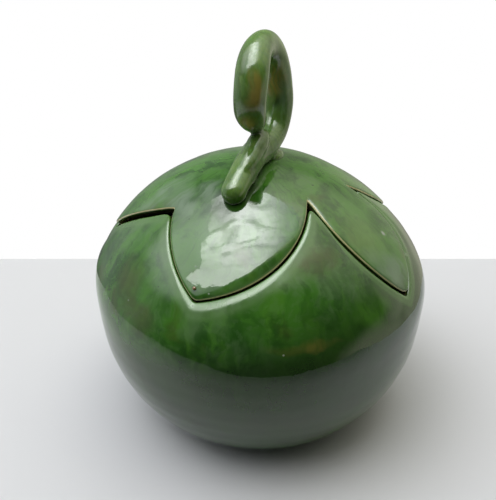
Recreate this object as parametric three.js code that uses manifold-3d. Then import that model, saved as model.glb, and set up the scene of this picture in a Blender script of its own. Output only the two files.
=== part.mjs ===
// A round green-glazed earthenware pot. Its lid is cut out of the dome as a five-lobed
// calyx, like the crown of leaves on a squash, and carries a curled stem as its handle.
// Millimetres, +Z up, the origin is the middle of the foot on the table, -Y is the front.

import * as THREE from "three";
import { mergeVertices } from "three/addons/utils/BufferGeometryUtils.js";
import Module from "manifold-3d";

const wasm = await Module();
wasm.setup();

// The form, thrown as one closed gourd before the lid was cut from it
const bellyRadius = 90; // outside, at the widest line
const bellyHeight = 79; // from the table up to the widest line
const domeHeight = 70.5; // from the widest line up to the crown
const domeFullness = 1.72; // 2 would be an ellipse, less is more pointed
const bellyFullness = 2.3; // more than 2 is squarer
const waistBlend = 0.3; // how softly dome and belly run together, as a cosine
const lean = 1.45; // degrees: the pot slumped a little towards +X while it dried
const wall = 5.5;
const floorThickness = 8;
const shoulder = 112; // degrees down from the crown: the belly is plain and round below here

// The foot
const footRadius = 52.5;
const footEdge = 2.2; // the soft corner between belly and foot
const footBand = 8; // width of the flat ring that the pot stands on
const footHollow = 1.6; // how far the middle of the underside is turned back

// The cut between lid and pot
const rimRound = 2.6; // the pot's sponged edge
const rimDip = 0.8; // the pot's edge sagged this far below the lid
const rimDipReach = 0.3; // and this fades out over this share of the way to the shoulder
const lidRound = 3.2; // the lid's sponged edge
const innerRound = 0.9; // both edges, on the inside
const mitreLimit = 2.4; // how far a corner of the cut may stand out, in gap widths

// The calyx, lobe by lobe, starting at the front. Angles are in degrees, seen from the
// heart of the pot: first round from the front towards +X, then down from the crown.
// The valley is the one that follows the tip. A bow is how far an edge swells from a
// straight cut, and a gap is the open joint along it in millimetres; both are given
// for the edge that runs down to the tip and for the one that comes back up.
const lobes = [
  { tip: [-24, 69.4], valley: [35.3, 33.7], bow: [2.4, 9.9], gap: [0.6, 2.1] },
  { tip: [58.2, 78.6], valley: [85.5, 38.7], bow: [6.7, 8.2], gap: [1.6, 1.5] },
  { tip: [119, 73], valley: [156, 40.5], bow: [5.8, 7], gap: [1.7, 1.4] },
  { tip: [192, 70], valley: [229, 41], bow: [7, 7.5], gap: [1.4, 1.4] },
  { tip: [263, 74], valley: [301.7, 43.9], bow: [7.5, 1.2], gap: [1.4, 2.6] },
];

// The stem, a rolled coil of clay laid over the crown and curled back onto itself
const stemTurn = 23; // degrees: the coil's plane, turned from the front-to-back line
const rootReach = 40; // how far in front of the crown the stem starts
const rootHalf = 6.3; // half thickness at the root
const trunkHalf = 7; // half thickness where it crosses the crown
const curlRadius = 17.8; // to the middle of the band
const curlBehind = 1; // the curl's centre is this far behind the crown
const curlHalfThick = 7; // half thickness of the band, from inside to outside
const backHalfWidth = 8.8; // half width of the band, where it rises behind
const crestHalfWidth = 5.9; // over the top
const frontHalfWidth = 8.2; // and where it comes down in front
const tipHalf = 6.6; // half thickness at the curled tip
const tipGap = 0.5; // between the tip and the trunk that it curls back onto
const riseTurn = -92; // degrees: where the curl leaves the trunk
const tipTurn = 260; // degrees: where the tip ends, with 0 behind, 90 on top, 270 below
// The hand-rolled curl wanders: degrees round it, and how far right of the trunk's line
const wander = [
  [-92, 1],
  [90, -0.8],
  [165, 1],
  [250, -1.2],
];
const stemPress = 1.2; // how deep the coil was pressed onto the dome
const lutingGap = 0.35; // between the stem and the dome under it

// How finely the surfaces are divided
const edgeSteps = 10; // along each edge of a lobe
const roundSteps = 3; // round the edge beside the cut
const lidSteps = 7; // from the crown to the lid's edge
const rimSteps = 9; // from the pot's edge down to the shoulder, outside
const bellySteps = 8; // from the shoulder down to the foot
const innerRimSteps = 5; // from the pot's edge down to the shoulder, inside
const innerSteps = 7; // from the shoulder to the middle of the floor
const stemSides = 16; // round the stem
const stemRuns = 44; // along it
const curlSteps = 14; // points that guide the curl
const endStops = [0.04, 0.3, 0.65]; // along each of its round ends, as shares

const glazeGreen = { color: 0x3f6a2c, roughness: 0.12, metalness: 0 };

const { clamp, degToRad, lerp, radToDeg, smoothstep } = THREE.MathUtils;
const heart = new THREE.Vector3(0, 0, bellyHeight);
const crown = new THREE.Vector3(0, 0, 1);

// The belly's curve runs on below the table; this is how deep it would bottom out
const footShare = Math.pow(footRadius / bellyRadius, bellyFullness);
const bellyDepth = bellyHeight / Math.pow(1 - footShare, 1 / bellyFullness);

// A direction from the heart: round from the front, and down from the crown
function heading(round, down) {
  const across = Math.sin(degToRad(down));
  return new THREE.Vector3(
    across * Math.sin(degToRad(round)),
    -across * Math.cos(degToRad(round)),
    Math.cos(degToRad(down)),
  );
}

// The point on the form in that direction, at a depth below the outer surface
function formPoint(direction, depth = 0) {
  const across = Math.hypot(direction.x, direction.y);
  const share = smoothstep(direction.z, -waistBlend, waistBlend);
  const fullness = lerp(bellyFullness, domeFullness, share);
  const height = lerp(bellyDepth, domeHeight, share) - depth;
  const sum =
    Math.pow(across / (bellyRadius - depth), fullness) +
    Math.pow(Math.abs(direction.z) / height, fullness);
  return direction.clone().multiplyScalar(Math.pow(sum, -1 / fullness)).add(heart);
}

// The slump: nothing at the table, all of it from the widest line up
function leaned(point) {
  const share = clamp(point.z / bellyHeight, 0, 1);
  point.z -= Math.tan(degToRad(lean)) * point.x * share;
  return point;
}

// The cut line, as directions from the heart, with the gap that the joint has there
function calyxLine() {
  const line = [];
  lobes.forEach((lobe, index) => {
    const before = lobes[(index + lobes.length - 1) % lobes.length];
    const start = heading(...before.valley);
    const tip = heading(...lobe.tip);
    const end = heading(...lobe.valley);
    addEdge(line, start, tip, lobe.bow[0], lobe.gap[0]);
    addEdge(line, tip, end, lobe.bow[1], lobe.gap[1]);
  });
  return line;
}

// One edge of a lobe: a parabola bowed away from the middle of the lid
function addEdge(line, from, to, bow, gap) {
  const side = new THREE.Vector3().crossVectors(to, from).normalize();
  const pull = side.multiplyScalar(2 * Math.tan(degToRad(bow)));
  const middle = from.clone().add(to).multiplyScalar(0.5).add(pull);
  const curve = new THREE.QuadraticBezierCurve3(from, middle, to);
  for (let step = 0; step < edgeSteps; step += 1) {
    line.push({ direction: curve.getPoint(step / edgeSteps).normalize(), gap });
  }
}

// The cut line moved sideways by a distance that may differ from point to point:
// positive is away from the lid. Corners are mitred.
function shifted(line, distanceAt) {
  return line.map(({ direction, gap }, index) => {
    const last = line[(index + line.length - 1) % line.length];
    const next = line[(index + 1) % line.length];
    const reach = formPoint(direction).distanceTo(heart);
    const sideIn = direction.clone().sub(last.direction).cross(direction).normalize();
    const sideOut = next.direction.clone().sub(direction).cross(direction).normalize();
    const side = sideIn.clone().add(sideOut).normalize();
    const mitre = Math.min(1 / side.dot(sideOut), mitreLimit);
    const gapHere = (last.gap + gap) / 2;
    const move = (mitre * distanceAt(gapHere)) / reach;
    return direction.clone().addScaledVector(side, move).normalize();
  });
}

const cutLine = calyxLine();

// A quarter of a round edge: how far back from the cut, and how deep
function roundedCorner(radius, steps) {
  const corner = [];
  for (let step = 0; step <= steps; step += 1) {
    const turn = (step / steps) * (Math.PI / 2);
    corner.push([radius * (1 - Math.sin(turn)), radius * (1 - Math.cos(turn))]);
  }
  return corner;
}

// The rings of points along one side of the cut, from the outer surface to the inner.
// Side is +1 for the pot and -1 for the lid.
function cutRings(side, radius, dip) {
  const section = roundedCorner(radius, roundSteps).map(([back, deep]) => [back, dip + deep]);
  const inner = roundedCorner(innerRound, 1).reverse();
  inner.forEach(([back, deep]) => section.push([back, wall - deep]));
  return section.map(([back, depth]) => {
    const directions = shifted(cutLine, (gap) => side * (gap / 2 + back));
    return directions.map((direction) => leaned(formPoint(direction, depth)));
  });
}

// A level ring of directions, its columns spread evenly over each half lobe
function levelDirections(down) {
  const directions = [];
  lobes.forEach((lobe, index) => {
    const before = lobes[(index + lobes.length - 1) % lobes.length];
    const turnBack = index === 0 ? 360 : 0;
    const stops = [before.valley[0] - turnBack, lobe.tip[0], lobe.valley[0]];
    for (let half = 0; half < 2; half += 1) {
      for (let step = 0; step < edgeSteps; step += 1) {
        const round = lerp(stops[half], stops[half + 1], step / edgeSteps);
        directions.push(heading(round, down));
      }
    }
  });
  return directions;
}

// Directions part of the way from one ring to another
function between(from, to, share) {
  return from.map((direction, index) => direction.clone().lerp(to[index], share).normalize());
}

// A closed skin through a pile of rings, closed at both ends by a point. Each four-sided
// patch is split along its shorter diagonal.
function skin(startPoint, rings, endPoint) {
  const count = rings[0].length;
  const points = [startPoint, ...rings.flat(), endPoint];
  const faces = [];
  const at = (ring, column) => 1 + ring * count + (column % count);
  const endIndex = points.length - 1;
  for (let column = 0; column < count; column += 1) {
    faces.push(0, at(0, column + 1), at(0, column));
    for (let ring = 0; ring + 1 < rings.length; ring += 1) {
      const a = at(ring, column);
      const b = at(ring, column + 1);
      const c = at(ring + 1, column + 1);
      const d = at(ring + 1, column);
      const acIsShorter = points[a].distanceTo(points[c]) < points[b].distanceTo(points[d]);
      faces.push(...(acIsShorter ? [a, b, c, a, c, d] : [a, b, d, b, c, d]));
    }
    faces.push(at(rings.length - 1, column), at(rings.length - 1, column + 1), endIndex);
  }
  const geometry = new THREE.BufferGeometry();
  const positions = points.flatMap((point) => [point.x, point.y, point.z]);
  geometry.setAttribute("position", new THREE.Float32BufferAttribute(positions, 3));
  geometry.setIndex(faces);
  return geometry;
}

// A flat ring of the underside, at a radius and a height
function underRing(radius, height) {
  return levelDirections(90).map(
    (direction) => new THREE.Vector3(direction.x * radius, direction.y * radius, height),
  );
}

// The pot: a turned foot, the belly, the star-shaped rim and the inside down to the floor
function potGeometry() {
  const rings = [
    ...footRings(),
    ...bellyRings(),
    ...cutRings(1, rimRound, rimDip),
    ...innerRings(),
  ];
  const underside = new THREE.Vector3(0, 0, footHollow);
  return skin(underside, rings, new THREE.Vector3(0, 0, floorThickness));
}

// The underside: a turned hollow, the flat ring and the soft corner round it
function footRings() {
  const bandOutside = footRadius - footEdge;
  const bandInside = bandOutside - footBand;
  const cornerShort = footEdge * (1 - Math.SQRT1_2);
  return [
    underRing(bandInside - footHollow, footHollow),
    underRing(bandInside, 0),
    underRing(bandOutside, 0),
    underRing(footRadius - cornerShort, cornerShort),
  ];
}

// The outside from the foot up to the round of the rim
function bellyRings() {
  const outside = (directions, depth = 0) =>
    directions.map((direction) => leaned(formPoint(direction, depth)));
  const footDown = 180 - radToDeg(Math.atan2(footRadius, bellyHeight - footEdge));
  const rings = [];
  for (let step = 0; step <= bellySteps; step += 1) {
    const down = lerp(footDown, shoulder, step / bellySteps);
    rings.push(outside(levelDirections(down)));
  }
  const rimBack = shifted(cutLine, (gap) => gap / 2 + rimRound);
  for (let step = rimSteps - 1; step > 0; step -= 1) {
    const share = step / rimSteps;
    const dip = rimDip * (1 - smoothstep(share, 0, rimDipReach));
    rings.push(outside(between(rimBack, levelDirections(shoulder), share), dip));
  }
  return rings;
}

// The inside from the rim down to the flat floor
function innerRings() {
  const inside = (directions) =>
    directions.map((direction) => {
      const point = formPoint(direction, wall);
      if (point.z < floorThickness) {
        const drop = (bellyHeight - floorThickness) / -direction.z;
        point.copy(direction).multiplyScalar(drop).add(heart);
      }
      return leaned(point);
    });
  const innerEdge = shifted(cutLine, (gap) => gap / 2 + innerRound);
  const rings = [];
  for (let step = 1; step <= innerRimSteps; step += 1) {
    const share = step / innerRimSteps;
    rings.push(inside(between(innerEdge, levelDirections(shoulder), share)));
  }
  for (let step = 1; step < innerSteps; step += 1) {
    rings.push(inside(levelDirections(lerp(shoulder, 180, step / innerSteps))));
  }
  return rings;
}

// Rings of the lid's skin at one depth, from near the crown out towards the cut
function lidLayer(back, depth) {
  const middle = cutLine.map(() => crown);
  const edge = shifted(cutLine, (gap) => -(gap / 2 + back));
  const rings = [];
  for (let step = 1; step < lidSteps; step += 1) {
    const directions = between(middle, edge, step / lidSteps);
    rings.push(directions.map((direction) => leaned(formPoint(direction, depth))));
  }
  return rings;
}

// The lid: a shell of the same form inside the cut line
function lidGeometry() {
  const rings = [
    ...lidLayer(innerRound, wall),
    ...cutRings(-1, lidRound, 0).reverse(),
    ...lidLayer(lidRound, 0).reverse(),
  ];
  return skin(formPoint(crown, wall), rings, formPoint(crown));
}

// The stem's centre line keeps close to one upright plane through the crown
const stemAlong = heading(180 - stemTurn, 90);
const stemAcross = new THREE.Vector3().crossVectors(stemAlong, crown);

// How far behind the crown, how high above the table, and how far aside to the right
function stemPoint(behind, height, aside = 0) {
  const foot = stemAlong.clone().multiplyScalar(behind);
  return foot.addScaledVector(stemAcross, aside).setZ(height);
}

// The dome's height that far behind the crown
function domeHeightAt(behind) {
  const across = Math.pow(Math.abs(behind) / bellyRadius, domeFullness);
  return bellyHeight + domeHeight * Math.pow(1 - across, 1 / domeFullness);
}

// The trunk follows the dome to the crown, then the curl winds in as a spiral, up behind
// the crown, over, and down in front until its tip lies on the trunk
function stemCurve() {
  const crownHeight = bellyHeight + domeHeight;
  const trunkHeight = crownHeight + trunkHalf - stemPress;
  const curlHeight = trunkHeight + trunkHalf + tipGap + tipHalf + curlRadius;
  const points = [];
  for (const share of [1, 0.8, 0.6, 0.4, 0.2]) {
    const behind = -rootReach * share;
    const half = lerp(trunkHalf, rootHalf, share);
    points.push(stemPoint(behind, domeHeightAt(behind) + half - stemPress));
  }
  const startRadius = curlHeight - trunkHeight;
  for (let step = 0; step <= curlSteps; step += 1) {
    const turn = lerp(riseTurn, tipTurn, step / curlSteps);
    const wound = smoothstep(turn, riseTurn, 0);
    const radius = lerp(startRadius, curlRadius, wound);
    const behind = curlBehind + radius * Math.cos(degToRad(turn));
    const height = curlHeight + radius * Math.sin(degToRad(turn));
    const [aside] = atStation(wander, turn);
    points.push(stemPoint(behind, height, aside));
  }
  return new THREE.CatmullRomCurve3(points, false, "centripetal");
}

// The values at a place between stations, each station being [place, ...values]
function atStation(stations, place) {
  const found = stations.findIndex(([stationPlace]) => stationPlace >= place);
  const next = found < 0 ? stations.length - 1 : Math.max(1, found);
  const [fromPlace, ...from] = stations[next - 1];
  const [toPlace, ...to] = stations[next];
  const blend = smoothstep(place, fromPlace, toPlace);
  return from.map((value, index) => lerp(value, to[index], blend));
}

// Half width and half thickness, by the share of the stem's length from root to tip
const bandStations = [
  [0, rootHalf, rootHalf],
  [0.22, trunkHalf, trunkHalf],
  [0.42, backHalfWidth, curlHalfThick],
  [0.64, crestHalfWidth, curlHalfThick],
  [0.8, frontHalfWidth, curlHalfThick],
  [0.9, frontHalfWidth, curlHalfThick],
  [1, tipHalf, tipHalf],
];

// The coil's two round ends: how far along the end's length, and how full the section is
function endSwell(along) {
  return Math.sqrt(1 - (1 - along) ** 2);
}

// The stem: a band of changing section along its centre line, trimmed to the dome
function stemGeometry() {
  const curve = stemCurve();
  const length = curve.getLength();
  const rootShare = rootHalf / length;
  const tipShare = tipHalf / length;
  const stops = endStops.map((along) => [along * rootShare, endSwell(along)]);
  for (let run = 0; run <= stemRuns; run += 1) {
    stops.push([lerp(rootShare, 1 - tipShare, run / stemRuns), 1]);
  }
  endStops.toReversed().forEach((along) => stops.push([1 - along * tipShare, endSwell(along)]));
  const rings = stops.map(([share, swell]) => {
    const centre = leaned(curve.getPointAt(share));
    const up = new THREE.Vector3().crossVectors(curve.getTangentAt(share), stemAcross);
    const [halfWidth, halfThick] = atStation(bandStations, share);
    const ring = [];
    for (let side = 0; side < stemSides; side += 1) {
      const turn = (side / stemSides) * 2 * Math.PI;
      const point = centre.clone();
      point.addScaledVector(stemAcross, swell * halfWidth * Math.cos(turn));
      point.addScaledVector(up, swell * halfThick * Math.sin(turn));
      ring.push(point);
    }
    return ring;
  });
  const coil = skin(leaned(curve.getPointAt(0)), rings, leaned(curve.getPointAt(1)));
  return fromSolid(toSolid(coil).subtract(toSolid(domeUnderStem())));
}

// The lid's outer skin, standing proud by the luting gap, to trim the stem to it
function domeUnderStem() {
  const rings = lidLayer(lidRound, -lutingGap).reverse();
  return skin(heart, rings, formPoint(crown, -lutingGap));
}

// Between a mesh and the solid that can be cut
function toSolid(geometry) {
  const plain = geometry.clone();
  plain.deleteAttribute("normal");
  plain.deleteAttribute("uv");
  const merged = mergeVertices(plain);
  const vertProperties = new Float32Array(merged.attributes.position.array);
  const triVerts = new Uint32Array(merged.index.array);
  return new wasm.Manifold(new wasm.Mesh({ numProp: 3, vertProperties, triVerts }));
}

function fromSolid(solid) {
  const { vertProperties, triVerts } = solid.getMesh();
  const geometry = new THREE.BufferGeometry();
  geometry.setAttribute("position", new THREE.BufferAttribute(vertProperties, 3));
  geometry.setIndex(new THREE.BufferAttribute(triVerts, 1));
  return geometry;
}

function addMesh(group, name, geometry) {
  const mesh = new THREE.Mesh(geometry, new THREE.MeshStandardMaterial(glazeGreen));
  mesh.name = name;
  group.add(mesh);
}

const pot = new THREE.Group();
pot.name = "pot";
addMesh(pot, "pot_body", potGeometry());

const lid = new THREE.Group();
lid.name = "lid";
addMesh(lid, "calyx_lid", lidGeometry());
addMesh(lid, "stem_handle", stemGeometry());

const whole = new THREE.Group();
whole.add(pot, lid);

export default whole;
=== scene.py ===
# %% [markdown]
# # A green-glazed pot with a leaf-star lid
# The real pot is low-fired clay under a thick, glassy green glaze. A potter threw it as one
# closed round form, cut the crown out as a five-lobed star of leaves, and laid a curled coil
# of clay over it as the stem. The solid model brings the true sizes; the cells below lay the
# same forms again with far more detail, glaze them and light them.

import math

import bmesh
import bpy
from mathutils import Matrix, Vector, noise


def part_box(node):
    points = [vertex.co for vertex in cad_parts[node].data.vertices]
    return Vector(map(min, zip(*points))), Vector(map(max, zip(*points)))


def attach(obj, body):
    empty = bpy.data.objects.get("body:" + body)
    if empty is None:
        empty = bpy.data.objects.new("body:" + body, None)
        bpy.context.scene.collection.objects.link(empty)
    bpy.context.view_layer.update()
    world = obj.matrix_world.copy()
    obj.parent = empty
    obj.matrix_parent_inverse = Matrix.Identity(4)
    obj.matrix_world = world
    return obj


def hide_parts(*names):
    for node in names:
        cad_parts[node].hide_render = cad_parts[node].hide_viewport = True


MM = 0.001

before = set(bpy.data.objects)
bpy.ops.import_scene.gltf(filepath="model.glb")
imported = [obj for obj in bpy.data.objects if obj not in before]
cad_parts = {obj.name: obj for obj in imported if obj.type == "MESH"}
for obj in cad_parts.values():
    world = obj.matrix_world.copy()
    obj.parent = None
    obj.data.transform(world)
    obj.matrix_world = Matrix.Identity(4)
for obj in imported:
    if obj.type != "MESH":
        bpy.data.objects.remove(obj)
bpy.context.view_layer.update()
pot_low, pot_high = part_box("pot_body")
lid_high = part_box("calyx_lid")[1]
print("pot", round((pot_high.x - pot_low.x) / MM), "mm wide, crown", round(lid_high.z / MM), "mm up")

# %% [markdown]
# ## The camera
# The picture was taken from a little above, about 44 cm away. The lens is given by its focal
# length in pixels, which is easy to compare with a picture, and turned into millimetres here.

# %% The camera
PICTURE = (496, 500)
FOCAL_PIXELS = 693
CAMERA_PLACE = Vector((-6.7, -326, 290)) * MM
CAMERA_PITCH = 31

camera_data = bpy.data.cameras.new("camera")
camera_data.lens = FOCAL_PIXELS / max(PICTURE) * camera_data.sensor_width
camera = bpy.data.objects.new("camera", camera_data)
camera.location = CAMERA_PLACE
camera.rotation_euler = (math.radians(90 - CAMERA_PITCH), 0, 0)
bpy.context.scene.collection.objects.link(camera)
bpy.context.scene.camera = camera
bpy.context.scene.view_settings.view_transform = "Standard"
print("lens", round(camera_data.lens, 1), "mm")

# %% [markdown]
# ## Node helpers
# Every finish here is mixed from shader nodes. A few helpers keep that short: one makes a node
# and fills its inputs, one does a step of arithmetic, and one bends a value into a soft S.


# %% Node helpers
def feed(tree, value, socket):
    """Links what another node gives into a socket, or writes plain numbers there."""
    if isinstance(value, bpy.types.NodeSocket):
        tree.links.new(value, socket)
    else:
        socket.default_value = (*value, 1) if socket.type == "RGBA" else value


def fill(tree, made, **settings):
    """Sets a node up: each setting goes to its input of that name, or else to its attribute."""
    for name, value in settings.items():
        label = name.replace("_", " ").title().replace("Ior", "IOR")
        if label in made.inputs:
            feed(tree, value, made.inputs[label])
        else:
            setattr(made, name, value)
    return made


def node(tree, kind, **settings):
    return fill(tree, tree.nodes.new("ShaderNode" + kind), **settings)


def ramped(tree, value, low, high, to_low=0.0, to_high=1.0):
    """A soft S from one value to another, while the input goes from low to high."""
    limits = {"from_min": low, "from_max": high, "to_min": to_low, "to_max": to_high}
    ramp = node(tree, "MapRange", interpolation_type="SMOOTHSTEP", value=value, **limits)
    return ramp.outputs["Result"]


def combined(tree, operation, *values, kind="Math"):
    """One step of arithmetic with numbers or, where the kind is VectorMath, with places."""
    step = node(tree, kind, operation=operation)
    for socket, value in zip(step.inputs, values):
        feed(tree, value, socket)
    return step.outputs["Value" if kind == "Math" or operation == "DOT_PRODUCT" else "Vector"]


print("node helpers ready")

# %% [markdown]
# Two patterns do nearly everything: clouds of noise, and a soft spot at a given place. Each
# gives a share between 0 and 1, and one colour is laid over another by that share.

# %% Clouds, spots and layers
SHARE_SOCKET, BASE_SOCKET, LAID_SOCKET, MIXED_SOCKET = 0, 6, 7, 2  # of a Mix node for colours


def own_place(tree):
    """The place on the piece itself, in metres."""
    return node(tree, "TexCoord").outputs["Object"]


def sides(tree, place):
    """A place or a heading, taken apart into its X, Y and Z."""
    return node(tree, "SeparateXYZ", vector=place).outputs


def cloud(tree, place, size, low, high, detail=4.0, seed=(0, 0, 0), stretch=(1, 1, 1)):
    """Soft clouds of about a size in metres, from 0 below low to 1 above high."""
    moved = node(tree, "Mapping", vector=place, location=seed, scale=stretch).outputs["Vector"]
    pattern = node(tree, "TexNoise", vector=moved, scale=1 / size, detail=detail, roughness=0.55)
    return ramped(tree, pattern.outputs["Fac"], low, high)


def spot(tree, place, centre, radii):
    """1 in the middle of a soft ball, in metres, and 0 outside it."""
    scale = [1 / radius for radius in radii]
    shift = [-c * s for c, s in zip(centre, scale)]
    moved = node(tree, "Mapping", vector=place, location=shift, scale=scale).outputs["Vector"]
    ball = node(tree, "TexGradient", vector=moved, gradient_type="SPHERICAL")
    return ramped(tree, ball.outputs["Fac"], 0, 0.8)


def laid_over(tree, base, colour, share, strength=1.0):
    """A colour laid over what is there, as far as the share says."""
    mix = node(tree, "Mix", data_type="RGBA")
    feed(tree, combined(tree, "MULTIPLY", share, strength), mix.inputs[SHARE_SOCKET])
    feed(tree, base, mix.inputs[BASE_SOCKET])
    feed(tree, colour, mix.inputs[LAID_SOCKET])
    return mix.outputs[MIXED_SOCKET]


print("pattern helpers ready")

# %% [markdown]
# ## The studio
# A glossy glaze shows whatever stands around it, so the studio is built for its reflections:
# a pale table top that ends not far from the pot, darkness beyond it, and one broad window
# overhead. Both are cards that the camera does not see: it sees a plain pale floor and a
# white shell instead. One soft lamp does most of the lighting.


# %% Helpers for materials
def shade(material, **settings):
    """Fills inputs of a material's shader."""
    tree = material.node_tree
    fill(tree, tree.nodes["Principled BSDF"], **settings)


def new_material(name, **settings):
    material = bpy.data.materials.new(name)
    material.use_nodes = True
    shade(material, **settings)
    return material


def glowing_material(name, colour, glow):
    """An even glow that mirrors nothing."""
    black = new_material(name, base_color=(0, 0, 0), specular_ior_level=0)
    shade(black, emission_color=colour, emission_strength=glow)
    return black


print("material helpers ready")

# %% Helpers for the studio
RAYS = ("camera", "glossy", "diffuse", "transmission", "volume_scatter", "shadow")


def add_object(name, shape, material):
    """Turns a finished bmesh into an object of the scene."""
    mesh = bpy.data.meshes.new(name)
    shape.to_mesh(mesh)
    shape.free()
    mesh.materials.append(material)
    thing = bpy.data.objects.new(name, mesh)
    bpy.context.scene.collection.objects.link(thing)
    return thing


def stage_piece(name, shape, material, *rays):
    """A piece of the studio, which only the rays named can see."""
    piece = add_object(name, shape, material)
    for kind in RAYS:
        setattr(piece, "visible_" + kind, kind in rays)


def flat_card(corners):
    """The shape of a flat card."""
    shape = bmesh.new()
    shape.faces.new([shape.verts.new(corner) for corner in corners])
    return shape


def rectangle(across, along, height):
    """The corners of a level rectangle between two values of X and two of Y."""
    return [(across[i], along[j], height) for i, j in ((0, 0), (1, 0), (1, 1), (0, 1))]


print("studio pieces may be seen by", len(RAYS), "kinds of rays")

# %% The table top that the glaze mirrors
TABLE_X = (-410 * MM, 285 * MM)
TABLE_Y = (-208 * MM, 143 * MM)
TABLE_Z = -0.2 * MM
TABLE_WHITE = (0.8, 0.805, 0.835)
TABLE_SHADE = (0.24, 0.24, 0.25)
TABLE_ROUGHNESS = 0.9
SHADE_FROM = -92 * MM

table_white = new_material("table_white", roughness=TABLE_ROUGHNESS)
table_tree = table_white.node_tree
near_edge = ramped(table_tree, sides(table_tree, own_place(table_tree))["Y"], SHADE_FROM, TABLE_Y[0])
shade(table_white, base_color=laid_over(table_tree, TABLE_WHITE, TABLE_SHADE, near_edge))
table_shape = flat_card(rectangle(TABLE_X, TABLE_Y, TABLE_Z))
stage_piece("mirrored_table", table_shape, table_white, "glossy", "diffuse")
print("table", [round((side[1] - side[0]) / MM) for side in (TABLE_X, TABLE_Y)], "mm")

# %% The floor and the background
FLOOR_X = (-2.4, 2.4)
FLOOR_Y = (-2.4, TABLE_Y[1])
FLOOR_Z = -0.1 * MM
SHELL_RADIUS = 6

floor_white = new_material("floor_white", base_color=TABLE_WHITE, roughness=TABLE_ROUGHNESS)
stage_piece("floor", flat_card(rectangle(FLOOR_X, FLOOR_Y, FLOOR_Z)), floor_white, "camera")

shell_shape = bmesh.new()
bmesh.ops.create_uvsphere(shell_shape, u_segments=32, v_segments=16, radius=SHELL_RADIUS)
shell_white = glowing_material("background_white", (1, 1, 1), 1.0)
stage_piece("background", shell_shape, shell_white, "camera")
print("floor", round(FLOOR_X[1] - FLOOR_X[0], 1), "m wide")

# %% The window overhead
WINDOW_HEIGHT = 2.5
# all places on the window are given as shares of its height
WINDOW_CORNERS = (
    (-0.5, 0.42), (0.12, 0.38), (0.42, 0.2), (0.52, -0.08), (0.3, -0.42),
    (0, -0.62), (-0.4, -0.68), (-0.86, -0.64), (-0.98, -0.45), (-0.71, -0.42),
    (-0.62, -0.27), (-0.58, -0.06), (-0.47, 0), (-0.46, 0.2),
)
WINDOW_WHITE = (0.97, 1, 0.985)
WINDOW_DIM = 5.0
WINDOW_BRIGHT = 6.5
WINDOW_FADES = (("X", 0.05, 0.5, 0.22), ("Y", -0.25, -0.55, 1.4))  # side, from, to, light left
SUNNY_PLACE, SUNNY_REACH = (-0.23, 0.03), 1.6
CURTAIN_PLACE, CURTAIN_REACH, CURTAIN_SHADE = (-0.5, 0.26), 1.05, 0.5


def on_window(place):
    return [share * WINDOW_HEIGHT for share in (*place, 1)]


window_white = glowing_material("window_white", WINDOW_WHITE, WINDOW_DIM)
panes = window_white.node_tree
pane_place = own_place(panes)
sunny = spot(panes, pane_place, on_window(SUNNY_PLACE), (SUNNY_REACH,) * 3)
leaves = cloud(panes, pane_place, 0.5, 0.32, 0.6, detail=3.0, stretch=(1, 2.2, 1))
sunlight = combined(panes, "MULTIPLY", sunny, leaves)
glow = combined(panes, "MULTIPLY_ADD", sunlight, WINDOW_BRIGHT, WINDOW_DIM)
pane_sides = sides(panes, pane_place)
for side, start, end, least in WINDOW_FADES:
    fade = ramped(panes, pane_sides[side], start * WINDOW_HEIGHT, end * WINDOW_HEIGHT, 1, least)
    glow = combined(panes, "MULTIPLY", glow, fade)
curtain = spot(panes, pane_place, on_window(CURTAIN_PLACE), (CURTAIN_REACH,) * 3)
let_through = combined(panes, "MULTIPLY_ADD", curtain, -CURTAIN_SHADE, 1)
shade(window_white, emission_strength=combined(panes, "MULTIPLY", glow, let_through))

window_shape = flat_card([on_window(corner) for corner in WINDOW_CORNERS])
stage_piece("window_card", window_shape, window_white, "glossy")
print("window", len(WINDOW_CORNERS), "corners,", WINDOW_HEIGHT, "m up")

# %% The lamp
LAMP_PLACE = Vector((-0.4, 0.4, 1.9))
LAMP_SIZE = 2.8
LAMP_POWER = 23
POT_MIDDLE = Vector((0, 0, 80 * MM))

lamp_data = bpy.data.lights.new("overhead_lamp", "AREA")
lamp_data.shape = "SQUARE"
lamp_data.size = LAMP_SIZE
lamp_data.energy = LAMP_POWER
lamp = bpy.data.objects.new("overhead_lamp", lamp_data)
lamp.location = LAMP_PLACE
lamp.rotation_euler = (POT_MIDDLE - LAMP_PLACE).to_track_quat("-Z", "Y").to_euler()
lamp.visible_glossy = False
bpy.context.scene.collection.objects.link(lamp)
print("one soft lamp,", LAMP_SIZE, "m wide, too soft to show in the glaze")

# %% [markdown]
# ## The room
# What the glaze mirrors between the table and the window is the room. It is dark in front,
# behind the camera, and bright to both sides. A few broad glows in given directions are
# enough; everything that is not shiny sees them much dimmer.

# %% The room
ROOM_BASE = 0.06
ROOM_FOR_MATT = 0.3
ROOM_GLOWS = (
    # degrees round from the front, degrees up, reach in degrees, strength
    (-85, 54, 38, 2.6),
    (-108, 8, 50, 0.5),
    (0, 87, 42, 1.9),
    (113, 52, 46, 1.1),
    (128, -8, 42, 0.52),
    (100, 4, 16, 0.4),
    (76, -18, 30, 0.65),
    (178, 22, 75, 0.26),
)
COOL_LIGHT = (0.95, 0.97, 1.0)
WARM_LIGHT = (1.0, 0.98, 0.8)


def heading(around, down):
    """A direction: degrees round from the front, and degrees down from straight up."""
    around, down = math.radians(around), math.radians(down)
    flat = math.sin(down)
    return Vector((flat * math.sin(around), -flat * math.cos(around), math.cos(down)))


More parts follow.
